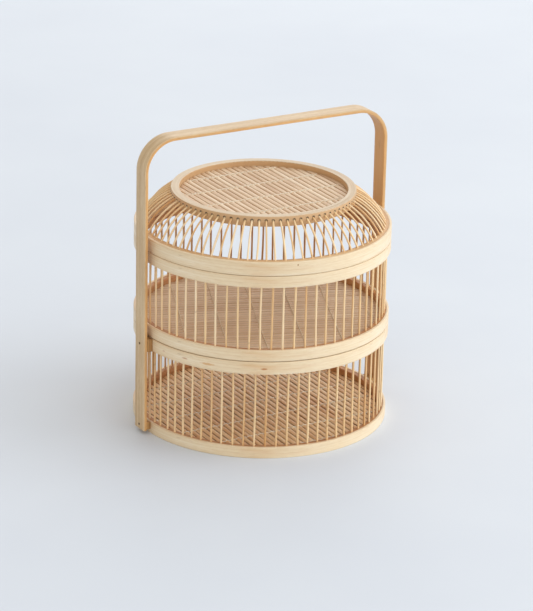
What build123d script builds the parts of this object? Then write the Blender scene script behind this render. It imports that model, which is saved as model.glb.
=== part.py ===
"""Two-tier bamboo carrier basket with a lid and a fixed bail handle.

Millimetres. The origin is the centre of the foot on the surface the basket stands on, +Z is up,
+X runs along the span of the handle, and the tiers come out sideways along Y.
Each function below makes one kind of piece, and NODES at the end names every piece that is written.
"""
from build123d import *
import math
import os

# Bands: each is a bent outer hoop around a thicker inner hoop that holds the spindles.
band_radius = 145.0
outer_hoop_wall = 3.0
inner_hoop_wall = 6.0
lid_inner_hoop_wall = 7.0
hoop_edge_radius = 0.7
inner_hoop_setback = 0.5
base_band_height = 13.1

# Heights of the three parts of the stack.
lower_tier_height = 114.2
lower_top_band_height = 14.6
upper_tier_height = 99.0
upper_top_band_height = 13.3
lid_band_height = 15.9
lid_height = 54.2
tier_seam_gap = 0.8
lid_seam_gap = 0.4

# Each part stacks on the one below with a tongue that drops into a rebate.
tongue_drop = 4.0
tongue_side_clearance = 0.5
tongue_end_clearance = 0.6

# Spindles of the two tiers.
lower_spindle_count = 72
upper_spindle_count = 70
spindle_radius = 1.3
spindle_inset = 5.2
spindle_hole_depth = 6.0
spindle_hole_clearance = 0.05
lower_spindle_phase = 0.6
upper_spindle_phase = 0.64

# Spindles of the lid, which lean in from the band and bend over to the top ring.
lid_spindle_count = 84
lid_spindle_radius = 1.2
lid_spindle_inset = 7.5
lid_spindle_lean = 28.0
lid_spindle_phase = 0.45
lid_socket_depth = 6.0
ring_socket_depth = 5.0
ring_socket_clearance = 0.5

# Top ring of the lid and the panel set into it.
top_ring_radius = 104.2
top_ring_wall = 9.9
top_ring_height = 11.8
top_ring_edge_radius = 1.0
panel_recess = 6.0

# Mats of round-topped slats, stitched with thread, on a ledge and battens.
slat_pitch = 7.1
slat_gap = 0.4
slat_thickness = 2.0
slat_crown = 0.9
narrowest_slat = 2.0
mat_edge_gap = 0.4
upper_mat_angle = 68.0
thread_pitch = 43.0
thread_width = 0.8
thread_thickness = 0.4
floor_thread_offset = 8.0
panel_thread_offset = -15.5
ledge_width = 6.0
ledge_thickness = 2.6
ledge_rise = 1.2
batten_width = 12.0
floor_batten_spacing = 110.0
panel_batten_spacing = 64.0

# Handle: one strip bent into a bail, held off the bands by blocks and nailed through them.
handle_height = 345.7
handle_width = 21.5
handle_thickness = 4.3
handle_block_depth = 6.0
handle_corner_radius = 38.2
handle_edge_radius = 0.8
handle_foot_gap = 5.0
base_block_width = 16.0
nail_radius = 0.7
nail_head_radius = 1.3
nail_head_thickness = 0.4
nail_bite = 2.0
nail_clearance = 0.05
base_nail_height = 10.3

# Small pins that tie each outer hoop to the hoop inside it.
pin_radius = 0.8
pin_bite = 1.0
pin_clearance = 0.05
base_pin_height = 3.4
top_pin_drop = 2.1
lid_pin_rise = 12.0
lower_pin_azimuths = (54.0, 66.0)
upper_pin_azimuths = (96.0, 108.0)
lid_pin_azimuths = (75.6, 255.6)

# Worked out from the values above.
hoop_joint_radius = band_radius - outer_hoop_wall
hoop_inner_radius = hoop_joint_radius - inner_hoop_wall
spindle_circle = band_radius - spindle_inset
lid_spindle_circle = band_radius - lid_spindle_inset
upper_base = lower_tier_height + tier_seam_gap
upper_top = upper_base + upper_tier_height
lid_base = upper_top + lid_seam_gap
lid_band_top = lid_base + lid_band_height
lid_top = lid_base + lid_height
ring_base = lid_top - top_ring_height
ring_middle = lid_top - top_ring_height / 2
ring_inner_radius = top_ring_radius - top_ring_wall
panel_top = lid_top - panel_recess
rebate_depth = tongue_drop + tongue_end_clearance
handle_inner_reach = band_radius + handle_block_depth
handle_outer_reach = handle_inner_reach + handle_thickness


def ease(ring, radius, amount):
    """Round the circular edges of a ring that lie at one radius."""
    circles = ring.edges().filter_by(GeomType.CIRCLE)
    return fillet([edge for edge in circles if abs(edge.radius - radius) < 0.01], amount)


def ring(outer_radius, inner_radius, bottom, top):
    """Plain ring between two heights."""
    height = top - bottom
    blank = Cylinder(outer_radius, height) - Cylinder(inner_radius, height)
    return Pos(0, 0, (bottom + top) / 2) * blank


def around(piece, count, phase):
    """Copies of a piece made at azimuth 0, spaced evenly about Z; the phase is a share of the spacing."""
    return [Rot(0, 0, (index + phase) * 360.0 / count) * piece for index in range(count)]


def outer_hoop(bottom, top, cutters=()):
    """Bent strip on the outside of a band, with its outer edges eased."""
    blank = ease(ring(band_radius, hoop_joint_radius, bottom, top), band_radius, hoop_edge_radius)
    return blank - list(cutters)


def inner_hoop(bottom, top, wall, cutters=(), tongue=0.0):
    """Thicker hoop inside a band; a tongue is the stretch at its foot that is turned down."""
    inner_radius = hoop_joint_radius - wall
    blank = ring(hoop_joint_radius, inner_radius, bottom, top)
    if tongue > 0:
        turned_radius = hoop_joint_radius - tongue_side_clearance
        blank -= ring(hoop_joint_radius + 1, turned_radius, bottom - 1, bottom + tongue)
    return ease(blank, inner_radius, hoop_edge_radius) - list(cutters)


def upright_rods(radius, bottom, top, count, phase):
    """Ring of straight rods: the spindles of a tier, or the drill for their holes."""
    rod = Pos(spindle_circle, 0, (bottom + top) / 2) * Cylinder(radius, top - bottom)
    return around(rod, count, phase)


def radial_rod(azimuth, height, radius, inner_reach, outer_reach):
    """Round rod along a radius, between two distances from the axis."""
    rod = Rot(0, 90, 0) * Cylinder(radius, outer_reach - inner_reach)
    return Rot(0, 0, azimuth) * Pos((inner_reach + outer_reach) / 2, 0, height) * rod


def hoop_pins(heights, azimuths, clearance=0.0):
    """Pins through an outer hoop into the inner one; with a clearance, their holes."""
    inner_reach = hoop_joint_radius - pin_bite
    radius = pin_radius + clearance
    return [
        radial_rod(azimuth, height, radius, inner_reach, band_radius + clearance)
        for height in heights
        for azimuth in azimuths
    ]


def nail_heights():
    """One nail in the base band and one in the tier's top band, in each leg."""
    top_band_middle = lower_tier_height - (lower_top_band_height - spindle_hole_depth + rebate_depth) / 2
    return (base_nail_height, top_band_middle)


def nail_shanks(clearance=0.0):
    """Shanks of the four handle nails; with a clearance, the holes that they run in."""
    inner_reach = hoop_joint_radius - nail_bite
    radius = nail_radius + clearance
    outer_reach = handle_outer_reach + clearance
    return [
        radial_rod(azimuth, height, radius, inner_reach, outer_reach)
        for azimuth in (0, 180)
        for height in nail_heights()
    ]


def handle_nails():
    """Each nail is a shank with a flat head on the face of the strip."""
    head_reach = handle_outer_reach + nail_head_thickness
    nails = []
    for azimuth in (0, 180):
        for height in nail_heights():
            inner_reach = hoop_joint_radius - nail_bite
            shank = radial_rod(azimuth, height, nail_radius, inner_reach, handle_outer_reach)
            head = radial_rod(azimuth, height, nail_head_radius, handle_outer_reach, head_reach)
            nails.append(shank + head)
    return nails


def tier_pieces(base, height, top_band_height, count, phase, mat_angle, pin_azimuths, stacks, nails):
    """Hoops, spindles, pins and floor of one tier, by name; a tier that stacks has a tongue."""
    base_top = base + base_band_height
    base_inner_top = base_top - inner_hoop_setback
    top = base + height
    top_band = top - top_band_height
    rebate = top - rebate_depth
    tongue = tongue_drop if stacks else 0.0
    pin_heights = (base + base_pin_height, rebate - top_pin_drop)
    pin_holes = hoop_pins(pin_heights, pin_azimuths, pin_clearance)
    hole_radius = spindle_radius + spindle_hole_clearance
    foot_of_spindle = base_inner_top - spindle_hole_depth
    head_of_spindle = top_band + spindle_hole_depth
    foot_holes = upright_rods(hole_radius, foot_of_spindle, base_inner_top + 1, count, phase)
    head_holes = upright_rods(hole_radius, top_band - 1, head_of_spindle, count, phase)
    hoop_holes = pin_holes + nails
    base_inner_holes = foot_holes + hoop_holes
    top_inner_holes = head_holes + hoop_holes
    inner_base = base - tongue
    return {
        "base_outer_hoop": [outer_hoop(base, base_top, hoop_holes)],
        "base_inner_hoop": [
            inner_hoop(inner_base, base_inner_top, inner_hoop_wall, base_inner_holes, tongue)
        ],
        "spindles": upright_rods(spindle_radius, foot_of_spindle, head_of_spindle, count, phase),
        "top_outer_hoop": [outer_hoop(top_band, top, hoop_holes)],
        "top_inner_hoop": [inner_hoop(top_band, rebate, inner_hoop_wall, top_inner_holes)],
        "hoop_pins": hoop_pins(pin_heights, pin_azimuths),
        **floor_pieces(hoop_inner_radius, base + ledge_rise, mat_angle, floor_thread_offset,
                       floor_batten_spacing),
    }


def floor_pieces(radius, bottom, mat_angle, thread_offset, batten_spacing):
    """Ledge, battens, slats and threads that fill a round opening of this radius."""
    mat_bottom = bottom + ledge_thickness
    turn = Rot(0, 0, mat_angle)
    return {
        "ledge": [ring(radius, radius - ledge_width, bottom, mat_bottom)],
        "battens": [turn * piece for piece in battens(radius - ledge_width, bottom, batten_spacing)],
        "slats": [turn * piece for piece in slats(radius - mat_edge_gap, mat_bottom)],
        "threads": [turn * piece for piece in threads(radius - mat_edge_gap, mat_bottom, thread_offset)],
    }


def battens(radius, bottom, spacing):
    """Two flat strips across the slats, trimmed to the inside of the ledge."""
    disc = Pos(0, 0, bottom + ledge_thickness / 2) * Cylinder(radius, ledge_thickness)
    strip = Box(2 * radius + 2, batten_width, ledge_thickness)
    middle = bottom + ledge_thickness / 2
    return [disc & (Pos(0, side * spacing / 2, middle) * strip) for side in (-1, 1)]


def slats(radius, bottom):
    """Parallel slats with crowned tops, all trimmed to one circle."""
    half_width = (slat_pitch - slat_gap) / 2
    shoulder = slat_thickness - slat_crown
    outline = Polyline((half_width, shoulder), (half_width, 0), (-half_width, 0), (-half_width, shoulder))
    crown = ThreePointArc((-half_width, shoulder), (0, slat_thickness), (half_width, shoulder))
    face = Plane.XZ * make_face([outline, crown])
    bar = extrude(face, amount=radius + 1, both=True)
    disc = Pos(0, 0, bottom + slat_thickness / 2) * Cylinder(radius, slat_thickness + 1)
    last = math.floor((radius + half_width - narrowest_slat) / slat_pitch)
    return [disc & (Pos(index * slat_pitch, 0, bottom) * bar) for index in range(-last, last + 1)]


def threads(radius, mat_bottom, offset):
    """Stitching across the slats, which lies on their crowns."""
    bottom = mat_bottom + slat_thickness
    reach = radius - slat_pitch
    last = math.floor((reach + abs(offset)) / thread_pitch)
    runs = []
    for index in range(-last, last + 1):
        place = offset + index * thread_pitch
        if abs(place) < reach - slat_pitch:
            length = 2 * math.sqrt(reach ** 2 - place ** 2)
            run = Box(length, thread_width, thread_thickness)
            runs.append(Pos(0, place, bottom + thread_thickness / 2) * run)
    return runs


def lid_spindle_end():
    """Length and direction of the chord from a lid spindle's foot to its socket in the ring."""
    run_in = lid_spindle_circle - top_ring_radius
    rise = ring_middle - lid_band_top
    return math.hypot(run_in, rise), math.degrees(math.atan2(run_in, rise))


def leaning(angle, distance):
    """Step of a distance along a line that leans inward from the vertical by an angle."""
    turn = math.radians(angle)
    return Vector(-distance * math.sin(turn), 0, distance * math.cos(turn))


def lid_spindle():
    """Rod that stands in the band at a lean, bends over in one arc and ends in the ring."""
    chord_angle = lid_spindle_end()[1]
    end_lean = 2 * chord_angle - lid_spindle_lean
    foot = Vector(lid_spindle_circle, 0, lid_band_top)
    head = Vector(top_ring_radius, 0, ring_middle)
    start = foot - leaning(lid_spindle_lean, lid_socket_depth)
    end = head + leaning(end_lean, ring_socket_depth)
    bend = TangentArc(foot, head, tangent=leaning(lid_spindle_lean, 1))
    path = Wire([Line(start, foot), bend, Line(head, end)])
    section = Plane(start, z_dir=leaning(lid_spindle_lean, 1)) * Circle(lid_spindle_radius)
    return sweep(section, path=path)


def lid_socket():
    """Drill for the slanted hole in the lid's band."""
    foot = Vector(lid_spindle_circle, 0, lid_band_top)
    start = foot - leaning(lid_spindle_lean, lid_socket_depth)
    length = lid_socket_depth + 3
    plane = Plane(start, z_dir=leaning(lid_spindle_lean, 1))
    return extrude(plane * Circle(lid_spindle_radius + spindle_hole_clearance), amount=length)


def ring_socket():
    """Drill for the hole in the ring's side, wider than the rod, which lies at its lower side."""
    end_lean = 2 * lid_spindle_end()[1] - lid_spindle_lean
    head = Vector(top_ring_radius, 0, ring_middle)
    lift = leaning(end_lean - 90, ring_socket_clearance - spindle_hole_clearance)
    start = head + leaning(end_lean, ring_socket_depth) + lift
    plane = Plane(start, z_dir=leaning(end_lean, -1))
    return extrude(plane * Circle(lid_spindle_radius + ring_socket_clearance), amount=ring_socket_depth + 4)


def lid_pieces():
    """Band, bent spindles, top ring and panel of the lid, by name."""
    pin_heights = (lid_base + lid_pin_rise,)
    pin_holes = hoop_pins(pin_heights, lid_pin_azimuths, pin_clearance)
    band_sockets = around(lid_socket(), lid_spindle_count, lid_spindle_phase)
    ring_sockets = around(ring_socket(), lid_spindle_count, lid_spindle_phase)
    top_ring = ease(ring(top_ring_radius, ring_inner_radius, ring_base, lid_top), top_ring_radius,
                    top_ring_edge_radius)
    top_ring = ease(top_ring, ring_inner_radius, top_ring_edge_radius)
    panel_bottom = panel_top - slat_thickness - ledge_thickness
    panel = floor_pieces(ring_inner_radius, panel_bottom, 0, panel_thread_offset, panel_batten_spacing)
    pieces = {
        "outer_hoop": [outer_hoop(lid_base, lid_band_top, pin_holes)],
        "inner_hoop": [inner_hoop(lid_base - tongue_drop, lid_band_top, lid_inner_hoop_wall,
                                  band_sockets + pin_holes, tongue_drop)],
        "spindles": around(lid_spindle(), lid_spindle_count, lid_spindle_phase),
        "top_ring": [top_ring - ring_sockets],
        "hoop_pins": hoop_pins(pin_heights, lid_pin_azimuths),
    }
    pieces.update({"panel_" + name: solids for name, solids in panel.items()})
    return pieces


def bail_outline(reach, height, corner_radius):
    """Flat outline of an upright bail with two round corners, open at the foot."""
    corners = [(-reach, handle_foot_gap), (-reach, height), (reach, height), (reach, handle_foot_gap)]
    return FilletPolyline(*corners, radius=corner_radius)


def handle_strip():
    """The bent strip: one thickness all the way round, nailed through both legs."""
    outer = bail_outline(handle_outer_reach, handle_height, handle_corner_radius)
    inner = bail_outline(handle_inner_reach, handle_height - handle_thickness,
                         handle_corner_radius - handle_thickness)
    feet = [Line(outer @ 0, inner @ 0), Line(outer @ 1, inner @ 1)]
    face = Plane.XZ * make_face([outer, inner, *feet])
    blank = extrude(face, amount=handle_width / 2, both=True)
    blank = fillet(blank.edges(), handle_edge_radius)
    return blank - nail_shanks(nail_clearance)


def spacer_block(side, width, bottom, top):
    """Block that fills the gap between a leg and a band, hollowed to sit on the band."""
    depth = handle_inner_reach
    middle = (bottom + top) / 2
    block = Pos(side * depth / 2, 0, middle) * Box(depth, width, top - bottom)
    return block - Pos(0, 0, middle) * Cylinder(band_radius, top - bottom + 2)


def handle_blocks():
    """A block under each leg at the base band, and a wider one at the tier's top band."""
    top_band = lower_tier_height - lower_top_band_height
    blanks = []
    for side in (-1, 1):
        blanks.append(spacer_block(side, base_block_width, handle_foot_gap, base_band_height))
        blanks.append(spacer_block(side, handle_width, top_band, lower_tier_height))
    holes = nail_shanks(nail_clearance)
    return [blank - holes for blank in blanks]


def all_pieces():
    """Every node of the basket: its name and its list of solids."""
    nail_holes = nail_shanks(nail_clearance)
    lower = tier_pieces(0, lower_tier_height, lower_top_band_height, lower_spindle_count,
                        lower_spindle_phase, 0, lower_pin_azimuths, False, nail_holes)
    upper = tier_pieces(upper_base, upper_tier_height, upper_top_band_height, upper_spindle_count,
                        upper_spindle_phase, upper_mat_angle, upper_pin_azimuths, True, [])
    nodes = {"lower_" + name: solids for name, solids in lower.items()}
    nodes.update({"upper_" + name: solids for name, solids in upper.items()})
    nodes.update({"lid_" + name: solids for name, solids in lid_pieces().items()})
    nodes["handle_strip"] = [handle_strip()]
    nodes["handle_spacer_blocks"] = handle_blocks()
    nodes["handle_nails"] = handle_nails()
    return nodes


os.makedirs("parts", exist_ok=True)
for node, solids in all_pieces().items():
    piece = Compound([solid for item in solids for solid in item.solids()])
    piece.label = node
    export_step(piece, "parts/" + node + ".step")
    print(node, len(piece.solids()), round(piece.volume))
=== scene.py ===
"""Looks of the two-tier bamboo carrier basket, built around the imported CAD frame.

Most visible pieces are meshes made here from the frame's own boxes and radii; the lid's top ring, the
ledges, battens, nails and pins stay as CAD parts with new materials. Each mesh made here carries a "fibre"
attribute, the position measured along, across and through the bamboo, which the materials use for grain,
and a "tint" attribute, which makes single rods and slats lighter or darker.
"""
import math
import random
import bpy
from mathutils import Matrix, Vector


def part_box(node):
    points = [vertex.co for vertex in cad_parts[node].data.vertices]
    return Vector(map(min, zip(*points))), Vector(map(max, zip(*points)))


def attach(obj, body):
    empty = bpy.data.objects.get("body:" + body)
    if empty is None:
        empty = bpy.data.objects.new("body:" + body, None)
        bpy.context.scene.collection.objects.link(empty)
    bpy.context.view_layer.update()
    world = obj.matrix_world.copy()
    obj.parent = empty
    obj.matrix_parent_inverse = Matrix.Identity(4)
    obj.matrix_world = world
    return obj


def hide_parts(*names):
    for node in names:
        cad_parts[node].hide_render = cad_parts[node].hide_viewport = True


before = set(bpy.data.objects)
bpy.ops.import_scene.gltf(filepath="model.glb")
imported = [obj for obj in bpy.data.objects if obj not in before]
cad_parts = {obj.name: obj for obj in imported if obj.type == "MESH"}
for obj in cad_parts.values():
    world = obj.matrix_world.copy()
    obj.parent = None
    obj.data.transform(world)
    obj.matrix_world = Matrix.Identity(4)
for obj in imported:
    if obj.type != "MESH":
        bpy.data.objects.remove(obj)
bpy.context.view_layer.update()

MM = 0.001

# Camera: a long lens, from the left of the handle's span and a little above.
CAMERA_PLACE = Vector((-1.5979, -2.7631, 1.3257))
CAMERA_AIM = Vector((0.0014, -0.0097, 0.1293))
CAMERA_ROLL = 1.25
CAMERA_LENS = 176.8
CAMERA_SENSOR = 36.0

# Lights: name, place, aim, size, power, colour.
LIGHTS = (
    ("key", (2.45, -1.45, 1.2), (0, 0, 0.12), 2.2, 37, (0.98, 0.99, 1.0)),
    ("fill", (-1.3, -2.4, 0.55), (0, 0, 0.1), 1.5, 6, (1.0, 0.97, 0.93)),
    ("sweep", (2.2, 3.2, 2.2), (0.9, 1.3, 0), 2.2, 28, (1.0, 1.0, 1.0)),
)
FLOOR_SIZE = 90
SKY_BRIGHT_SIDE = (0.866, -0.5, 0.0)
SKY_STRENGTH = 0.91
SKY_SLOPE = 0.38
SKY_WARM = (1.03, 0.972, 0.885, 1)
SKY_COOL = (0.93, 0.988, 1.09, 1)

# Grain: the scale from a ring's angle to length along its fibres, and the distance between cane joints.
ROUND_SCALE = 0.12
KNOT_SPACING = 0.31

# Hoops.
EDGE_ROUND = 0.6 * MM
HOOP_STEPS = 240
HOOP_LAP = math.radians(11)
LAP_LIP = 0.35 * MM
THIN_END = 0.12 * MM
LOWER_LAP_TURN = math.radians(38)
UPPER_LAP_TURN = math.radians(75)
LID_LAP_TURN = math.radians(60)
TONGUE_DROP = 4 * MM
TONGUE_SETBACK = 0.5 * MM
LOWER_STAIN_TURN = math.radians(241.8)

# Rods.
ROD_SIDES = 12
ROD_STEPS = 9
ROD_BOW = 0.7 * MM
ROD_STRAY = 0.55 * MM
LID_ROD_STEPS = 18
LID_ROD_RADIUS = 1.2 * MM
LID_ROD_COUNT = 84
LID_ROD_PHASE = 0.45
LID_ROD_INSET = 7.5 * MM
LID_FOOT_DEPTH = 6 * MM
LID_SOCKET_DEPTH = 4.5 * MM
LID_LEAN = math.radians(28)

# Mats and their stitching.
SLAT_PITCH = 7.1 * MM
SLAT_WIDTH = 6.45 * MM
SLAT_CROWN = 0.9 * MM
SLAT_STEPS = 22
MAT_EDGE_GAP = 0.4 * MM
UPPER_MAT_TURN = math.radians(68)
THREAD_PITCH = 43 * MM
THREAD_RADIUS = 0.46 * MM
THREAD_SIDES = 6
THREAD_STEPS_PER_SLAT = 8
FLOOR_THREAD_OFFSET = 8 * MM
PANEL_THREAD_OFFSET = -15.5 * MM

# Handle.
HANDLE_CORNER = 38.2 * MM
HANDLE_STRAIGHT_STEPS = 34
HANDLE_BEND_STEPS = 22
BASE_BLOCK_HALF = 8 * MM
BLOCK_STEPS = 8
BLOCK_ROWS = 5


# ---------------------------------------------------------------- colours and shader nodes

def srgb(red, green, blue):
    """Linear colour from 0 to 255 screen values."""
    def linear(value):
        value /= 255
        return value / 12.92 if value <= 0.04045 else ((value + 0.055) / 1.055) ** 2.4
    return (linear(red), linear(green), linear(blue), 1)


class Nodes:
    """A node tree, with short calls for the nodes it needs."""

    def __init__(self, tree):
        self.tree = tree

    def link(self, source, target):
        self.tree.links.new(source, target)

    def feed(self, value, socket):
        """Links an output to the socket, or sets the socket to a plain value."""
        if isinstance(value, bpy.types.NodeSocket):
            self.link(value, socket)
        else:
            socket.default_value = value

    def node(self, kind, **inputs):
        made = self.tree.nodes.new(kind)
        for name, value in inputs.items():
            self.feed(value, made.inputs[name])
        return made

    def attribute(self, name):
        made = self.tree.nodes.new("ShaderNodeAttribute")
        made.attribute_name = name
        return made

    def math(self, operation, first, second=0.0, third=0.0):
        made = self.tree.nodes.new("ShaderNodeMath")
        made.operation = operation
        for socket, value in zip(made.inputs, (first, second, third)):
            self.feed(value, socket)
        return made.outputs[0]

    def vector(self, operation, first, second=(0, 0, 0)):
        """Plain number made from one or two vectors."""
        made = self.tree.nodes.new("ShaderNodeVectorMath")
        made.operation = operation
        self.feed(first, made.inputs[0])
        self.feed(second, made.inputs[1])
        return made.outputs["Value"]

    def wobble(self, noise, size, value):
        """A value moved up and down by a noise that lies about 0.5."""
        return self.math("MULTIPLY_ADD", self.math("SUBTRACT", noise, 0.5), size, value)

    def length(self, first, second):
        """Length of the hypotenuse over two distances."""
        squares = [self.math("MULTIPLY", side, side) for side in (first, second)]
        return self.math("SQRT", self.math("ADD", *squares))

    def stretched(self, vector, along, across):
        made = self.node("ShaderNodeMapping", Vector=vector)
        made.inputs["Scale"].default_value = (along, across, across)
        return made.outputs["Vector"]

    def noise(self, vector, scale=1.0, detail=3.0, roughness=0.55):
        made = self.node("ShaderNodeTexNoise", Vector=vector, Scale=scale, Detail=detail,
                         Roughness=roughness)
        return made.outputs["Fac"]

    def split(self, vector):
        """The X, Y and Z outputs of a vector."""
        return self.node("ShaderNodeSeparateXYZ", Vector=vector).outputs

    def ramp(self, factor, *stops):
        made = self.node("ShaderNodeValToRGB", Fac=factor)
        ramp = made.color_ramp
        while len(ramp.elements) < len(stops):
            ramp.elements.new(0.5)
        for element, (place, colour) in zip(ramp.elements, stops):
            element.position = place
            element.color = colour
        return made.outputs["Color"]

    def level(self, factor, low, high):
        """Factor stretched so that low becomes 0 and high becomes 1."""
        made = self.node("ShaderNodeMapRange", Value=factor)
        made.inputs["From Min"].default_value = low
        made.inputs["From Max"].default_value = high
        return made.outputs["Result"]

    def mix(self, factor, strength, first, second):
        """First colour, with the second over it by factor times strength."""
        made = self.tree.nodes.new("ShaderNodeMix")
        made.data_type = "RGBA"
        share = factor if strength == 1 else self.math("MULTIPLY", factor, strength)
        for index, value in ((0, share), (6, first), (7, second)):
            self.feed(value, made.inputs[index])
        return made.outputs[2]


class Shader(Nodes):
    """One material's node tree."""

    def __init__(self, name):
        self.material = bpy.data.materials.new(name)
        self.material.use_nodes = True
        super().__init__(self.material.node_tree)
        self.surface = self.tree.nodes["Principled BSDF"]

    def fibre(self):
        """Position along, across and through the bamboo, as the mesh carries it."""
        return self.attribute("fibre").outputs["Vector"]

    def place(self):
        return self.node("ShaderNodeTexCoord").outputs["Object"]

    def finish(self, colour, roughness, bump=None, strength=0.3, distance=0.0003):
        self.link(colour, self.surface.inputs["Base Color"])
        self.feed(roughness, self.surface.inputs["Roughness"])
        if bump is not None:
            made = self.node("ShaderNodeBump", Height=bump, Strength=strength, Distance=distance)
            self.link(made.outputs["Normal"], self.surface.inputs["Normal"])
        return self.material

    def finish_grain(self, colour, fine, broad, roughness):
        """Finish for bamboo, with roughness and bump from its fibres."""
        rough = self.math("MULTIPLY_ADD", fine, 0.22, roughness - 0.11)
        return self.finish(colour, rough, bump=self.math("MULTIPLY_ADD", broad, 0.6, fine), strength=0.35)


def streaks(shader, fibre, tint, strength, fleck=0.0):
    """Value about 0.5 that follows the fibres: fine lines, broad lines, slow drift and short flecks."""
    fine = shader.noise(shader.stretched(fibre, 9, 1500), detail=4, roughness=0.6)
    broad = shader.noise(shader.stretched(fibre, 3.5, 330), detail=3)
    drift = shader.noise(shader.stretched(fibre, 11, 60), detail=2)
    value = shader.wobble(fine, 0.6 * strength, 0.5)
    value = shader.wobble(broad, 0.8 * strength, value)
    value = shader.wobble(drift, 0.45 * strength, value)
    if fleck:
        short = shader.noise(shader.stretched(fibre, 110, 1000), detail=3, roughness=0.65)
        value = shader.wobble(short, fleck, value)
    if tint is not None:
        value = shader.math("ADD", value, tint)
    return fine, broad, value


def tone_ramp(shader, value, tones):
    """Dark, middle and light bamboo by the value of its streaks."""
    return shader.ramp(value, *zip((0.12, 0.5, 0.88), tones))


def knot_lines(shader, colour, fibre, broad, blotch, strength):
    """Thin darker line across the fibres at each joint of the cane."""
    along = shader.wobble(broad, 0.004, shader.split(fibre)["X"])
    share = shader.math("FRACT", shader.math("DIVIDE", along, KNOT_SPACING))
    near = shader.level(shader.math("ABSOLUTE", shader.math("SUBTRACT", share, 0.5)), 0.0065, 0.0)
    return shader.mix(near, strength, colour, blotch)


def spots(shader, colour, fibre, blotch, strength, along=60, across=420, low=0.69, high=0.76):
    """Scattered darker flecks drawn out along the fibres."""
    cloud = shader.noise(shader.stretched(fibre, along, across), detail=1.5)
    return shader.mix(shader.level(cloud, low, high), strength, colour, blotch)


def smudge(shader, colour, fibre, centre, reach, shade, strength):
    """One soft stain at a place along the fibres."""
    moved = shader.node("ShaderNodeMapping", Vector=fibre)
    moved.inputs["Location"].default_value = (-centre[0] / reach[0], -centre[1] / reach[1], 0)
    moved.inputs["Scale"].default_value = (1 / reach[0], 1 / reach[1], 0)
    rough = shader.noise(shader.stretched(fibre, 300, 900), detail=3)
    size = shader.wobble(rough, 0.9, shader.vector("LENGTH", moved.outputs["Vector"]))
    return shader.mix(shader.level(size, 1.0, 0.55), strength, colour, shade)


def bamboo(name, tones, blotch, roughness=0.5, streak=1.0, knots=0.0, specks=0.0, wear=0.0,
           side=None, back=None, painted_shade_rim=None, stain=None, fleck=0.0, marks=()):
    """Bamboo with long fibres, flecks and stains; sawn sides can have their own colour, and backs and rims
    can take painted shade.
    """
    shader = Shader(name)
    fibre = shader.fibre()
    tint = shader.attribute("tint").outputs["Fac"]
    fine, broad, value = streaks(shader, fibre, tint, streak, fleck)
    colour = tone_ramp(shader, value, tones)
    across = shader.split(fibre)
    # painted shade on the back face of the strip
    if back:
        depth, shade = back
        inner_face = shader.level(across["Z"], depth + 0.1 * MM, depth)
        colour = shader.mix(inner_face, 0.85, colour, shade)
    if side:
        half, dark, light = side
        sawn = shader.level(shader.math("ABSOLUTE", across["Y"]), half, half + 0.15 * MM)
        sawn = shader.math("MULTIPLY", sawn, shader.level(across["Z"], 1.7 * MM, 0.3 * MM))
        tone = shader.ramp(value, (0.15, dark), (0.85, light))
        colour = shader.mix(sawn, 1, colour, tone)
    if knots:
        colour = knot_lines(shader, colour, fibre, broad, blotch, knots)
    if specks:
        colour = spots(shader, colour, fibre, blotch, specks)
    if wear:
        colour = spots(shader, colour, fibre, stain or blotch, wear, along=14, across=110,
                       low=0.52, high=0.72)
    for centre, reach, shade, strength in marks:
        colour = smudge(shader, colour, fibre, centre, reach, shade, strength)
    # painted shade by the rim amount: at slat edges and on the inward sides of rods
    if painted_shade_rim:
        start, shade, strength = painted_shade_rim
        edge = shader.level(shader.attribute("painted_shade_rim").outputs["Fac"], start, 1.0)
        colour = shader.mix(edge, strength, colour, shade)
    return shader.finish_grain(colour, fine, broad, roughness)


def round_coordinates(shader):
    """Fibre coordinates for a CAD ring: along its circumference, up, and out from the axis."""
    east, north, up = shader.split(shader.place())
    along = shader.math("MULTIPLY", shader.math("ARCTAN2", north, east), ROUND_SCALE)
    joined = shader.node("ShaderNodeCombineXYZ", X=along, Y=up, Z=shader.length(east, north))
    return joined.outputs[0]


def thread_material(name, shade, pale):
    """Undyed twisted thread: matt, with a fine spiral."""
    shader = Shader(name)
    wave = shader.node("ShaderNodeTexWave", Vector=shader.fibre(), Scale=420.0, Distortion=2.0, Detail=1.0)
    wave.bands_direction = "DIAGONAL"
    colour = shader.ramp(wave.outputs["Fac"], (0.1, shade), (0.8, pale))
    return shader.finish(colour, 0.9, bump=wave.outputs["Fac"], strength=0.5, distance=0.0002)


def nail_material():
    """Small darkened steel nail, patchy with rust."""
    shader = Shader("nail_steel")
    rust = shader.noise(shader.place(), scale=900, detail=3)
    colour = shader.ramp(rust, (0.35, srgb(70, 52, 38)), (0.65, srgb(124, 92, 64)))
    shader.surface.inputs["Metallic"].default_value = 0.55
    return shader.finish(colour, 0.55, bump=rust, strength=0.3)


def pin_material():
    """End grain of a bamboo pin: dark pores on tan."""
    shader = Shader("pin_end_grain")
    pores = shader.node("ShaderNodeTexVoronoi", Vector=shader.place(), Scale=3500.0).outputs["Distance"]
    colour = shader.ramp(pores, (0.1, srgb(110, 74, 44)), (0.5, srgb(176, 130, 84)))
    return shader.finish(colour, 0.7, bump=pores, strength=0.3)


def floor_material():
    """Plain pale paper floor, a little mottled."""
    shader = Shader("pale_floor")
    mottle = shader.noise(shader.place(), scale=3, detail=3)
    colour = shader.ramp(mottle, (0.3, srgb(214, 219, 225)), (0.7, srgb(218, 223, 228)))
    return shader.finish(colour, 0.85)


# ---------------------------------------------------------------- meshes

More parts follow.
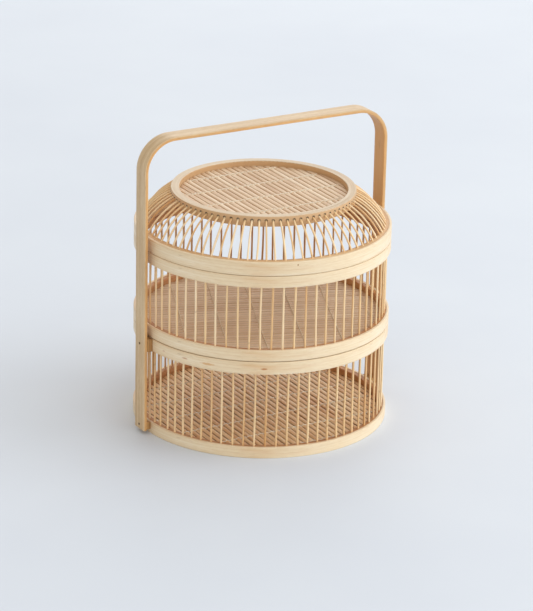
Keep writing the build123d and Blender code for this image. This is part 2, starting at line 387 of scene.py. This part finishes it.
class Build:
    """Gathers the points, faces, fibre positions, tints and painted-shade amounts of one piece."""

    def __init__(self):
        self.points = []
        self.faces = []
        self.fibre = []
        self.tint = []
        self.painted_shade_rim = []

    def loft(self, sections, fibres, tint=0.0, closed=False, painted_shade_rims=None):
        """Skin over a row of sections with equal point counts; a row that isn't closed gets capped ends."""
        first = len(self.points)
        size = len(sections[0])
        for section, fibre in zip(sections, fibres):
            self.points.extend(section)
            self.fibre.extend(fibre)
        self.tint.extend([tint] * size * len(sections))
        painted_shade_rims = painted_shade_rims or [0.0] * size
        self.painted_shade_rim.extend(painted_shade_rims if len(painted_shade_rims) > size else painted_shade_rims * len(sections))
        rows = len(sections) if closed else len(sections) - 1
        for row in range(rows):
            here = first + row * size
            there = first + (row + 1) % len(sections) * size
            for index in range(size):
                after = (index + 1) % size
                self.faces.append((here + index, there + index, there + after, here + after))
        if not closed:
            last = first + (len(sections) - 1) * size
            self.faces.append(tuple(range(first, first + size)))
            self.faces.append(tuple(range(last + size - 1, last - 1, -1)))

    def piece(self, name, material, sharp=40):
        mesh = bpy.data.meshes.new(name)
        mesh.from_pydata([tuple(point) for point in self.points], [], self.faces)
        fibre = mesh.attributes.new("fibre", "FLOAT_VECTOR", "POINT")
        fibre.data.foreach_set("vector", [value for item in self.fibre for value in item])
        tint = mesh.attributes.new("tint", "FLOAT", "POINT")
        tint.data.foreach_set("value", self.tint)
        # painted shade amount per point, which the materials darken by
        painted_shade_rim = mesh.attributes.new("painted_shade_rim", "FLOAT", "POINT")
        painted_shade_rim.data.foreach_set("value", self.painted_shade_rim)
        mesh.materials.append(material)
        mesh.validate()
        mesh.shade_smooth()
        mesh.set_sharp_from_angle(angle=math.radians(sharp))
        made = bpy.data.objects.new(name, mesh)
        bpy.context.scene.collection.objects.link(made)
        return made


def rounded_outline(half_a, half_b, radius, steps=3, splits=5):
    """Closed outline of a rounded rectangle, as (a, b) pairs; its long b sides are split."""
    radius = min(radius, half_a * 0.95, half_b * 0.95)
    corners = ((1, -1, -90), (1, 1, 0), (-1, 1, 90), (-1, -1, 180))
    outline = []
    for side_a, side_b, start in corners:
        for step in range(steps):
            turn = math.radians(start + 90 * step / (steps - 1))
            centre_a = side_a * (half_a - radius)
            centre_b = side_b * (half_b - radius)
            outline.append((centre_a + radius * math.cos(turn), centre_b + radius * math.sin(turn)))
        if side_a == side_b:
            continue
        reach = half_b - radius
        for split in range(1, splits):
            outline.append((side_a * half_a, side_a * (-reach + 2 * reach * split / splits)))
    return outline


def circle_outline(radius, sides):
    """Points of a circle, as (a, b) pairs."""
    turns = [2 * math.pi * index / sides for index in range(sides)]
    return [(radius * math.cos(turn), radius * math.sin(turn)) for turn in turns]


def radii(node):
    """Smallest and largest distance of a CAD node from the basket's axis."""
    reach = [math.hypot(vertex.co.x, vertex.co.y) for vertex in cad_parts[node].data.vertices]
    return min(reach), max(reach)


def rod_azimuths(node):
    """Azimuth of each rod in a CAD node of rods that stand in a circle."""
    turns = sorted(math.atan2(vertex.co.y, vertex.co.x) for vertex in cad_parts[node].data.vertices)
    groups = [[turns[0]]]
    for turn in turns[1:]:
        if turn - groups[-1][-1] > math.radians(1.2):
            groups.append([])
        groups[-1].append(turn)
    return [(group[0] + group[-1]) / 2 for group in groups]


def place_at(azimuth, reach, height):
    """Point at an azimuth and distance from the axis."""
    return Vector((reach * math.cos(azimuth), reach * math.sin(azimuth), height))


def ripple(azimuth, seed, size):
    """Slow unevenness round a hoop, which closes on itself."""
    total = 0.0
    for wave, share in ((2, 0.5), (3, 0.3), (5, 0.2)):
        total += share * math.sin(wave * azimuth + seed * wave * 1.7)
    return total * size


# ---------------------------------------------------------------- hoops

def outer_hoop(node, material, lap_azimuth):
    """Bent strip that laps over its own end in a long scarf."""
    low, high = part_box(node)
    inner, outer = radii(node)
    wall = outer - inner
    build = Build()
    sections = []
    fibres = []
    sweep = 2 * math.pi + HOOP_LAP
    seed = low.z * 90
    for step in range(HOOP_STEPS + 1):
        turned = sweep * step / HOOP_STEPS
        azimuth = lap_azimuth + turned
        start_share = min(turned / HOOP_LAP, 1.0)
        end_share = min((sweep - turned) / HOOP_LAP, 1.0)
        low_reach = inner + (wall - LAP_LIP) * (1 - end_share)
        high_reach = inner + max(wall * start_share, THIN_END)
        high_reach = max(high_reach, low_reach + LAP_LIP)
        top = high.z - 0.05 * MM + ripple(azimuth, seed, 0.12 * MM)
        bottom = low.z + max(ripple(azimuth, seed + 3, 0.1 * MM), 0.0)
        middle = (low_reach + high_reach) / 2 - 0.12 * MM + ripple(azimuth, seed + 5, 0.1 * MM)
        outline = rounded_outline((high_reach - low_reach) / 2, (top - bottom) / 2, EDGE_ROUND)
        centre = (top + bottom) / 2
        sections.append([place_at(azimuth, middle + a, centre + b) for a, b in outline])
        around = azimuth if azimuth < 2 * math.pi else azimuth - 2 * math.pi
        fibres.append([(around * outer, b, a) for a, b in outline])
    build.loft(sections, fibres)
    return build.piece(node + "_strip", material)


def inner_hoop(node, material, tongue_drop, seed):
    """Thicker hoop inside a band; its foot is a narrower tongue where it stacks on the piece below."""
    low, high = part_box(node)
    inner, outer = radii(node)
    build = Build()
    sections = []
    fibres = []
    edge = EDGE_ROUND
    bottom = low.z
    back = outer - 0.05 * MM
    tongue = outer - TONGUE_SETBACK
    for step in range(HOOP_STEPS):
        azimuth = 2 * math.pi * step / HOOP_STEPS
        top = high.z + ripple(azimuth, seed, 0.1 * MM) - 0.1 * MM
        profile = [(inner, top - edge), (inner + edge * 0.3, top - edge * 0.3), (inner + edge, top),
                   ((inner + outer) / 2, top), (back, top)]
        if tongue_drop:
            shoulder = bottom + tongue_drop
            profile += [(back, shoulder), (tongue, shoulder)]
            profile += [(tongue, bottom + edge), (tongue - edge, bottom)]
        else:
            profile += [(back, bottom)]
        profile += [(inner + edge, bottom), (inner, bottom + edge), (inner, (top + bottom) / 2)]
        sections.append([place_at(azimuth, reach, height) for reach, height in profile])
        fibres.append([(azimuth * inner + seed, height, reach) for reach, height in profile])
    build.loft(sections, fibres, closed=True)
    return build.piece(node + "_bent", material, sharp=35)


# ---------------------------------------------------------------- rods

def frames_along(path):
    """Tangent, side and up direction at each point of a path, turned as little as possible."""
    result = []
    side = None
    for index, point in enumerate(path):
        before = path[max(index - 1, 0)]
        after = path[min(index + 1, len(path) - 1)]
        tangent = (after - before).normalized()
        if side is None:
            reference = Vector((0, 0, 1)) if abs(tangent.z) < 0.9 else Vector((1, 0, 0))
            side = tangent.cross(reference).normalized()
        side = (side - tangent * side.dot(tangent)).normalized()
        result.append((tangent, side, tangent.cross(side)))
    return result


def add_rod(build, path, radius, sides, tint, seed, flat=1.0):
    """Round rod along a path, a little flattened and uneven along its length."""
    sections = []
    fibres = []
    painted_shade_rims = []
    travelled = 0.0
    for index, (point, (tangent, side, up)) in enumerate(zip(path, frames_along(path))):
        if index:
            travelled += (point - path[index - 1]).length
        swell = radius * (1 + 0.05 * math.sin(travelled * 90 + seed * 7))
        outline = circle_outline(swell, sides)
        steps = [side * a + up * (b * flat) for a, b in outline]
        inward = Vector((-point.x, -point.y, 0)).normalized()
        sections.append([point + step for step in steps])
        fibres.append([(travelled + seed, a + seed, b) for a, b in outline])
        # painted shade amount, highest on the side of the rod that faces the basket's axis
        painted_shade_rims.extend([max(step.dot(inward) / swell, 0.0) for step in steps])
    build.loft(sections, fibres, tint=tint, painted_shade_rims=painted_shade_rims)


def tier_rods(tier, material, draw):
    """Upright rods of a tier, each a little bowed and off its mark."""
    node = tier + "_spindles"
    low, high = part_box(node)
    inner, outer = radii(node)
    radius = (outer - inner) / 2
    circle = (outer + inner) / 2
    build = Build()
    for azimuth in rod_azimuths(node):
        bow_round = draw.gauss(0, 0.5) * ROD_BOW
        bow_out = draw.gauss(0, 0.25) * ROD_BOW
        foot_stray = draw.uniform(-1, 1) * ROD_STRAY
        head_stray = draw.uniform(-1, 1) * ROD_STRAY
        path = []
        for step in range(ROD_STEPS + 1):
            share = step / ROD_STEPS
            belly = math.sin(math.pi * share)
            around = foot_stray * (1 - share) + head_stray * share + bow_round * belly
            path.append(place_at(azimuth + around / circle, circle + bow_out * belly - 0.1 * MM,
                                 low.z + (high.z - low.z) * share))
        size = radius * draw.uniform(0.9, 1.0)
        add_rod(build, path, size, ROD_SIDES, draw.gauss(0, 0.07), draw.uniform(0, 5),
                draw.uniform(0.88, 1))
    return build.piece(tier + "_rods", material, sharp=60)


def lid_rod_profile():
    """Centreline of a lid rod as (distance from the axis, height): lean, one bend, ring socket."""
    ring_low, ring_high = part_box("lid_top_ring")
    band_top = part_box("lid_outer_hoop")[1].z
    ring_reach = radii("lid_top_ring")[1]
    foot_reach = radii("lid_outer_hoop")[1] - LID_ROD_INSET
    ring_middle = (ring_low.z + ring_high.z) / 2
    chord = math.hypot(foot_reach - ring_reach, ring_middle - band_top)
    chord_lean = math.atan2(foot_reach - ring_reach, ring_middle - band_top)
    bend = chord / (2 * math.sin(chord_lean - LID_LEAN))
    end_lean = 2 * chord_lean - LID_LEAN
    profile = [(foot_reach + LID_FOOT_DEPTH * math.sin(LID_LEAN),
                band_top - LID_FOOT_DEPTH * math.cos(LID_LEAN))]
    for step in range(LID_ROD_STEPS + 1):
        lean = LID_LEAN + (end_lean - LID_LEAN) * step / LID_ROD_STEPS
        profile.append((foot_reach - bend * (math.cos(LID_LEAN) - math.cos(lean)),
                        band_top + bend * (math.sin(lean) - math.sin(LID_LEAN))))
    profile.append((ring_reach - LID_SOCKET_DEPTH * math.sin(end_lean),
                    ring_middle + LID_SOCKET_DEPTH * math.cos(end_lean)))
    return profile


def lid_rods(material, draw):
    """Bent rods of the lid, each with its own slight sway."""
    profile = lid_rod_profile()
    build = Build()
    for azimuth in rod_azimuths("lid_spindles"):
        foot_stray = draw.uniform(-1, 1) * ROD_STRAY * 1.3
        sway = draw.gauss(0, 0.8) * ROD_BOW
        lift = draw.gauss(0, 0.5) * ROD_BOW
        path = []
        for index, (reach, height) in enumerate(profile):
            share = index / (len(profile) - 1)
            belly = math.sin(math.pi * share)
            around = foot_stray * (1 - share) + sway * belly
            rise = lift * belly * 0.5
            path.append(place_at(azimuth + around / reach, reach + rise, height + rise))
        size = LID_ROD_RADIUS * draw.uniform(0.84, 0.95)
        add_rod(build, path, size, ROD_SIDES, draw.gauss(0, 0.07), draw.uniform(0, 5))
    return build.piece("lid_rods", material, sharp=60)


# ---------------------------------------------------------------- mats

def slat_mat(name, material, reach, bottom, thickness, turn, draw, loose):
    """Round-topped slats side by side, trimmed to a circle."""
    build = Build()
    rotation = Matrix.Rotation(turn, 3, "Z")
    last = int((reach + SLAT_PITCH / 2 - 2 * MM) / SLAT_PITCH)
    for index in range(-last, last + 1):
        middle = index * SLAT_PITCH + draw.uniform(-0.1, 0.1) * MM
        half = SLAT_WIDTH / 2 * draw.uniform(0.93, 1.04)
        lift = draw.uniform(-0.1, 0.0) * MM
        crown = SLAT_CROWN * draw.uniform(0.9, 1.1)
        outline = slat_outline(half, thickness + lift, crown)
        tint = draw.gauss(0, 0.05)
        seed = draw.uniform(0, 9)
        sections = []
        fibres = []
        for step in range(SLAT_STEPS + 1):
            share = 2 * step / SLAT_STEPS - 1
            section = []
            fibre = []
            for across, height in outline:
                place = middle + across
                if abs(place) >= reach:
                    place = math.copysign(reach - 0.05 * MM, place)
                run = share * math.sqrt(reach ** 2 - place ** 2)
                waver = loose * (math.sin(run * 48 + seed * 5) + 0.5 * math.sin(run * 110 + seed))
                section.append(rotation @ Vector((place + waver, run, bottom + height)))
                fibre.append((run + seed, across + seed, height))
            sections.append(section)
            fibres.append(fibre)
        # painted shade amount, rising towards each slat's edges where the gaps between slats are shaded
        painted_shade_rims = [abs(across) / half for across, height in outline]
        build.loft(sections, fibres, tint=tint, painted_shade_rims=painted_shade_rims)
    return build.piece(name, material, sharp=50)


def slat_outline(half, thickness, crown):
    """Section of a slat: flat back as wide as the pitch, a thin lip each side, crowned top."""
    foot = SLAT_PITCH / 2 - 0.02 * MM
    lip = thickness * 0.35
    outline = [(foot, lip), (foot, 0), (-foot, 0), (-foot, lip)]
    for step in range(9):
        across = -half + 2 * half * step / 8
        height = thickness - crown * abs(across / half) ** 2.6
        outline.append((across, height))
    return outline[::-1]


def stitches(name, material, reach, bottom, thickness, turn, offset, draw):
    """Pairs of strands that twine over and under the slats, in rows."""
    build = Build()
    rotation = Matrix.Rotation(turn, 3, "Z")
    middle = bottom + thickness / 2
    height = thickness / 2 + THREAD_RADIUS * 0.8
    last = int((reach + abs(offset)) / THREAD_PITCH)
    for row in range(-last, last + 1):
        place = offset + row * THREAD_PITCH
        if abs(place) > reach - 14 * MM:
            continue
        run = math.sqrt((reach - 4 * MM) ** 2 - place ** 2)
        count = int(2 * run / SLAT_PITCH) * THREAD_STEPS_PER_SLAT
        sag = draw.uniform(-0.4, 0.4) * MM
        for strand in (0, 1):
            path = []
            for step in range(count + 1):
                across = -run + 2 * run * step / count
                phase = math.pi * across / SLAT_PITCH + math.pi * strand
                rise = math.cos(phase)
                rise = math.copysign(abs(rise) ** 0.7, rise)
                sway = 0.45 * MM * math.sin(phase) + sag * math.sin(across * 20)
                path.append(rotation @ Vector((across, place + sway, middle + height * rise)))
            add_rod(build, path, THREAD_RADIUS, THREAD_SIDES, 0.0, draw.uniform(0, 5))
    return build.piece(name, material, sharp=80)


# ---------------------------------------------------------------- handle

def bail_path():
    """Centreline of the bent handle strip as (x, z, direction of its outer face in degrees)."""
    low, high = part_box("handle_strip")
    half = (high.x - low.x) / 2
    thickness = handle_thickness()
    corner = HANDLE_CORNER - thickness / 2
    reach = half - thickness / 2
    top = high.z - thickness / 2
    straight = HANDLE_STRAIGHT_STEPS
    bend = HANDLE_BEND_STEPS
    points = []
    for step in range(straight):
        points.append((-reach, low.z + (top - corner - low.z) * step / straight, 180))
    for step in range(bend):
        turn = 180 - 90 * step / bend
        points.append((-reach + corner + corner * math.cos(math.radians(turn)),
                       top - corner + corner * math.sin(math.radians(turn)), turn))
    span = 2 * (reach - corner)
    for step in range(straight):
        points.append((-reach + corner + span * step / straight, top, 90))
    mirrored = [(-x, z, 180 - turn) for x, z, turn in reversed(points[:straight + bend])]
    points.append((reach - corner, top, 90))
    return points + mirrored


def handle_thickness():
    """Thickness of the strip: the leg's inner face is where the spacer blocks end."""
    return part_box("handle_strip")[1].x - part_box("handle_spacer_blocks")[1].x


def handle(material):
    """One bamboo strip bent into a bail, with slight swelling where its knots were."""
    low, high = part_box("handle_strip")
    width = high.y - low.y
    thickness = handle_thickness()
    build = Build()
    sections = []
    fibres = []
    travelled = 0.0
    path = bail_path()
    for index, (x, z, turn) in enumerate(path):
        if index:
            travelled += math.hypot(x - path[index - 1][0], z - path[index - 1][1])
        swell = 0.97 + 0.03 * math.sin(travelled * 23)
        narrow = 0.988 + 0.012 * math.sin(travelled * 31 + 1)
        outline = rounded_outline(thickness / 2 * swell, width / 2 * narrow, 0.7 * MM, splits=7)
        out = Vector((math.cos(math.radians(turn)), 0, math.sin(math.radians(turn))))
        sections.append([Vector((x, b, z)) + out * a for a, b in outline])
        fibres.append([(travelled, b, a) for a, b in outline])
    build.loft(sections, fibres)
    return build.piece("handle_bail", material)


def spacer_blocks(material, draw):
    """Rough-sawn blocks between the legs and the bands."""
    low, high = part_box("handle_spacer_blocks")
    band_reach = radii("lower_top_outer_hoop")[1]
    build = Build()
    band_low, band_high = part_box("lower_top_outer_hoop")
    base_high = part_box("lower_base_outer_hoop")[1]
    full = (high.y - low.y) / 2
    for side in (-1, 1):
        for half, bottom, top in ((BASE_BLOCK_HALF, low.z, base_high.z), (full, band_low.z, band_high.z)):
            add_block(build, side, half - 0.3 * MM, bottom, top, band_reach, high.x, draw)
    return build.piece("handle_blocks", material, sharp=30)


def add_block(build, side, half, bottom, top, band_reach, leg_reach, draw):
    """Block with one face hollowed to the band, and slightly chewed sides."""
    sections = []
    fibres = []
    seed = draw.uniform(0, 5)
    rise = (top - bottom) / BLOCK_ROWS
    for step in range(BLOCK_STEPS + 1):
        y = -half + 2 * half * step / BLOCK_STEPS
        near = math.sqrt(band_reach ** 2 - y ** 2)
        ring = [(near, bottom + rise * row) for row in range(BLOCK_ROWS + 1)]
        ring += [(leg_reach, top - rise * row) for row in range(BLOCK_ROWS + 1)]
        rough = [(x + draw.uniform(-0.1, 0.1) * MM * (0 < index % (BLOCK_ROWS + 1) < BLOCK_ROWS), z)
                 for index, (x, z) in enumerate(ring)]
        chew = draw.uniform(-0.25, 0.25) * MM if step in (0, BLOCK_STEPS) else 0.0
        sections.append([Vector((side * x, y + chew, z)) for x, z in rough])
        fibres.append([(z + seed, y, x) for x, z in rough])
    if side > 0:
        sections.reverse()
        fibres.reverse()
    build.loft(sections, fibres, tint=draw.gauss(0, 0.1))


# ---------------------------------------------------------------- stage

def camera():
    """Long-lens camera at the photographed angle."""
    lens = bpy.data.cameras.new("view")
    lens.lens = CAMERA_LENS
    lens.sensor_width = CAMERA_SENSOR
    lens.clip_end = 50
    eye = bpy.data.objects.new("view", lens)
    bpy.context.scene.collection.objects.link(eye)
    ahead = (CAMERA_AIM - CAMERA_PLACE).normalized()
    level = ahead.to_track_quat("-Z", "Y").to_matrix()
    roll = Matrix.Rotation(math.radians(-CAMERA_ROLL), 3, ahead)
    eye.matrix_world = Matrix.Translation(CAMERA_PLACE) @ (roll @ level).to_4x4()
    bpy.context.scene.camera = eye


def area_light(name, place, aim, size, power, colour):
    """Soft square light."""
    light = bpy.data.lights.new(name, "AREA")
    light.size = size
    light.energy = power
    light.color = colour
    lamp = bpy.data.objects.new(name, light)
    lamp.location = place
    lamp.rotation_euler = (Vector(aim) - Vector(place)).to_track_quat("-Z", "Y").to_euler()
    bpy.context.scene.collection.objects.link(lamp)


def sky():
    """Pale sky all round, brighter and cooler towards the key light's side."""
    world = bpy.data.worlds.new("sky")
    world.use_nodes = True
    nodes = Nodes(world.node_tree)
    direction = nodes.node("ShaderNodeTexCoord").outputs["Generated"]
    side = nodes.vector("DOT_PRODUCT", direction, SKY_BRIGHT_SIDE)
    background = nodes.tree.nodes["Background"]
    nodes.link(nodes.math("MULTIPLY_ADD", side, SKY_SLOPE, SKY_STRENGTH), background.inputs["Strength"])
    share = nodes.math("MULTIPLY_ADD", side, 0.5, 0.5)
    nodes.link(nodes.mix(share, 1, SKY_WARM, SKY_COOL), background.inputs["Color"])
    bpy.context.scene.world = world


def stage():
    """Pale floor, soft lights and sky."""
    bpy.ops.mesh.primitive_plane_add(size=FLOOR_SIZE, location=(0, 0, 0))
    floor = bpy.context.object
    floor.name = "floor"
    floor.data.materials.append(floor_material())
    for light in LIGHTS:
        area_light(*light)
    sky()
    bpy.context.scene.view_settings.view_transform = "Standard"


# ---------------------------------------------------------------- the basket

def settle(piece, body, slot_name, *nodes):
    """A piece rides on its body and stands for its CAD nodes, which are hidden; slot_name is not used."""
    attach(piece, body)
    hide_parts(*nodes)


def paint_node(node, material):
    """Gives a CAD node that stays visible its material."""
    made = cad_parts[node]
    made.data.materials.clear()
    made.data.materials.append(material)


def make_materials():
    """Every material of the basket, by use."""
    brown = srgb(138, 92, 52)
    tan = srgb(214, 164, 104)
    rust = srgb(186, 116, 58)
    first = LOWER_STAIN_TURN * radii("lower_top_outer_hoop")[1]
    stains = [((first, -0.6 * MM), (4.0 * MM, 1.3 * MM), rust, 0.85),
              ((first - 0.064, -0.6 * MM), (10.0 * MM, 1.7 * MM), tan, 0.75),
              ((first - 0.093, 0.0), (4.5 * MM, 1.1 * MM), rust, 0.6),
              ((first - 0.125, 0.0), (3.0 * MM, 0.8 * MM), rust, 0.5)]
    slat_tones = (srgb(188, 146, 104), srgb(221, 191, 154), srgb(240, 220, 190))
    # the lower mat's own warmer tones paint in the warm bounce light inside the lower tier
    bounce_warm_slat_tones = (srgb(212, 156, 100), srgb(246, 206, 152), srgb(253, 232, 190))
    hoop_tones = (srgb(200, 160, 111), srgb(234, 211, 173), srgb(250, 238, 216))
    inner_tones = (srgb(158, 98, 50), srgb(198, 140, 86), srgb(222, 174, 120))
    lid_inner_tones = (srgb(184, 132, 82), srgb(217, 174, 124), srgb(238, 206, 158))
    handle_tones = (srgb(168, 132, 90), srgb(207, 177, 134), srgb(231, 209, 172))
    handle_side = (10.05 * MM, srgb(200, 142, 80), srgb(228, 182, 120))
    # painted shade on the handle's inner face, which faces the basket
    handle_inner_face_shade = (-1.95 * MM, srgb(212, 162, 104))
    block_tones = (srgb(104, 70, 36), srgb(168, 122, 70), srgb(206, 162, 102))
    rod_tones = (srgb(208, 152, 90), srgb(240, 206, 154), srgb(252, 234, 200))
    return {
        "hoop": bamboo("hoop_bamboo", hoop_tones, brown, roughness=0.42, streak=0.7, specks=0.2,
                       wear=0.35, stain=tan, fleck=0.35),
        "stained": bamboo("stained_hoop_bamboo", hoop_tones, brown, roughness=0.42, streak=0.7, specks=0.25,
                          wear=0.5, stain=tan, fleck=0.35, marks=stains),
        "inner": bamboo("inner_hoop_bamboo", inner_tones, brown, roughness=0.55, specks=0.5, wear=0.3),
        "lid_inner": bamboo("lid_inner_hoop_bamboo", lid_inner_tones, brown, roughness=0.5, specks=0.4,
                            wear=0.3),
        "handle": bamboo("handle_bamboo", handle_tones, brown, roughness=0.46, streak=0.8, specks=0.35,
                         wear=0.35, stain=srgb(196, 160, 112), fleck=0.6, side=handle_side, back=handle_inner_face_shade),
        "block": bamboo("block_bamboo", block_tones, brown, roughness=0.7, streak=1.6, specks=0.8),
        # rods: painted shade on the side of each rod that faces the basket's axis
        "rod": bamboo("rod_bamboo", rod_tones, brown, roughness=0.4, streak=0.9, knots=0.3, specks=0.12,
                      painted_shade_rim=(0.1, srgb(176, 112, 60), 0.85)),
        # slats: painted shade at each slat's edges; darkest and strongest in the lower mat, lighter in the
        # upper mat and lid where more light falls
        "lower_slat": bamboo("lower_slat_bamboo", bounce_warm_slat_tones, brown, roughness=0.5, streak=1.1, specks=0.4,
                             fleck=0.3, painted_shade_rim=(0.86, srgb(120, 70, 34), 0.85)),
        "upper_slat": bamboo("upper_slat_bamboo", slat_tones, brown, roughness=0.5, streak=0.9, specks=0.3,
                             fleck=0.3, painted_shade_rim=(0.88, srgb(150, 96, 52), 0.6)),
        "lid_slat": bamboo("lid_slat_bamboo", slat_tones, brown, roughness=0.5, streak=1.5, specks=0.4,
                           fleck=0.3, painted_shade_rim=(0.86, srgb(158, 104, 58), 0.6)),
        "lower_thread": thread_material("stitch_thread", srgb(222, 206, 174), srgb(252, 246, 230)),
        "upper_thread": thread_material("worn_stitch_thread", srgb(210, 187, 151), srgb(245, 231, 205)),
        "ledge": ring_material("ledge_bamboo", (srgb(140, 96, 56), srgb(180, 132, 86), srgb(206, 164, 116)),
                               srgb(120, 80, 46)),
        "top_ring": top_ring_material(),
        "nail": nail_material(),
        "pin": pin_material(),
    }


def ring_material(name, tones, blotch, skirt=None, sockets=None):
    """Bamboo for a CAD ring, fibres round it; it may have a browner skirt and painted shade round its
    sockets.
    """
    shader = Shader(name)
    fibre = round_coordinates(shader)
    fine, broad, value = streaks(shader, fibre, None, 1.0)
    colour = spots(shader, tone_ramp(shader, value, tones), fibre, blotch, 0.3)
    place = shader.split(fibre)
    if skirt:
        outer_face, inner_face, shade = skirt
        outside = shader.level(place["Z"], outer_face, outer_face + 0.3 * MM)
        inside = shader.level(place["Z"], inner_face + 0.3 * MM, inner_face)
        colour = shader.mix(shader.math("MAXIMUM", outside, inside), 0.75, colour, shade)
    # painted shade round each socket, where the gap in the hole falls dark
    if sockets:
        reach, height, size = sockets
        turn = shader.math("DIVIDE", place["X"], ROUND_SCALE)
        pitch = 2 * math.pi / LID_ROD_COUNT
        share = shader.math("FRACT", shader.math("ADD", shader.math("MULTIPLY", turn, 1 / pitch),
                                                 LID_ROD_COUNT - LID_ROD_PHASE + 0.5))
        around = shader.math("MULTIPLY", shader.math("SUBTRACT", share, 0.5), pitch * reach)
        distance = shader.length(around, shader.math("SUBTRACT", place["Y"], height))
        socket_shade = shader.math("MULTIPLY", shader.level(distance, size, size * 0.85),
                            shader.level(place["Z"], reach - 3 * MM, reach - 2 * MM))
        colour = shader.mix(socket_shade, 0.95, colour, srgb(40, 20, 8))
    return shader.finish_grain(colour, fine, broad, 0.51)


def top_ring_material():
    """Pale bamboo for the lid's ring, browner on its upright faces, with painted shade round each socket."""
    low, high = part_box("lid_top_ring")
    inner, outer = radii("lid_top_ring")
    tones = (srgb(182, 152, 114), srgb(213, 191, 159), srgb(228, 211, 184))
    return ring_material("ring_bamboo", tones, srgb(138, 92, 52),
                         skirt=(outer - 0.5 * MM, inner + 0.2 * MM, srgb(202, 156, 102)),
                         sockets=(outer, (low.z + high.z) / 2 + 1.3 * MM, 1.8 * MM))


def make_mat(name, body, draw, materials, slat, thread, turn, loose, thread_offset):
    """A mat and its stitching in the place of the CAD's slats and threads."""
    low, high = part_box(name + "_slats")
    thickness = high.z - low.z
    reach = radii(name + "_ledge")[1] - MAT_EDGE_GAP
    mat = slat_mat(name + "_mat", materials[slat], reach, low.z, thickness, turn, draw, loose)
    settle(mat, body, "slats", name + "_slats")
    rows = stitches(name + "_stitching", materials[thread], reach, low.z, thickness, turn,
                    thread_offset, draw)
    settle(rows, body, "thread", name + "_threads")
    paint_node(name + "_ledge", materials["ledge"])
    paint_node(name + "_battens", materials["ledge"])


def make_tier(tier, body, materials, lap_azimuth, mat_turn, loose, stacks, seed):
    """All pieces of one tier."""
    draw = random.Random(seed)
    for number, part in enumerate(("base", "top")):
        outer = tier + "_" + part + "_outer_hoop"
        inner = tier + "_" + part + "_inner_hoop"
        tongue = TONGUE_DROP if stacks and part == "base" else 0
        finish = materials["stained" if outer == "lower_top_outer_hoop" else "hoop"]
        settle(outer_hoop(outer, finish, lap_azimuth), body, "hoop_bamboo", outer)
        bent = inner_hoop(inner, materials["inner"], tongue, seed + number)
        settle(bent, body, "inner_hoop_bamboo", inner)
    settle(tier_rods(tier, materials["rod"], draw), body, "spindles", tier + "_spindles")
    make_mat(tier, body, draw, materials, tier + "_slat", tier + "_thread", mat_turn, loose,
             FLOOR_THREAD_OFFSET)
    paint_node(tier + "_hoop_pins", materials["pin"])


def make_lid(materials):
    """All pieces of the lid."""
    draw = random.Random(31)
    outer = outer_hoop("lid_outer_hoop", materials["hoop"], LID_LAP_TURN)
    settle(outer, "lid", "hoop_bamboo", "lid_outer_hoop")
    inner = inner_hoop("lid_inner_hoop", materials["lid_inner"], TONGUE_DROP, 32)
    settle(inner, "lid", "inner_hoop_bamboo", "lid_inner_hoop")
    settle(lid_rods(materials["rod"], draw), "lid", "spindles", "lid_spindles")
    make_mat("lid_panel", "lid", draw, materials, "lid_slat", "lower_thread", 0, 0.12 * MM,
             PANEL_THREAD_OFFSET)
    paint_node("lid_top_ring", materials["top_ring"])
    paint_node("lid_hoop_pins", materials["pin"])


def make_handle(materials):
    """The bail, its blocks and its nails."""
    draw = random.Random(57)
    settle(handle(materials["handle"]), "base_tier", "handle_bamboo", "handle_strip")
    settle(spacer_blocks(materials["block"], draw), "base_tier", "block_bamboo", "handle_spacer_blocks")
    paint_node("handle_nails", materials["nail"])


camera()
stage()
made_materials = make_materials()
make_tier("lower", "base_tier", made_materials, LOWER_LAP_TURN, 0.0, 0.2 * MM, False, 11)
make_tier("upper", "upper_tier", made_materials, UPPER_LAP_TURN, UPPER_MAT_TURN, 0.1 * MM, True, 21)
make_lid(made_materials)
make_handle(made_materials)
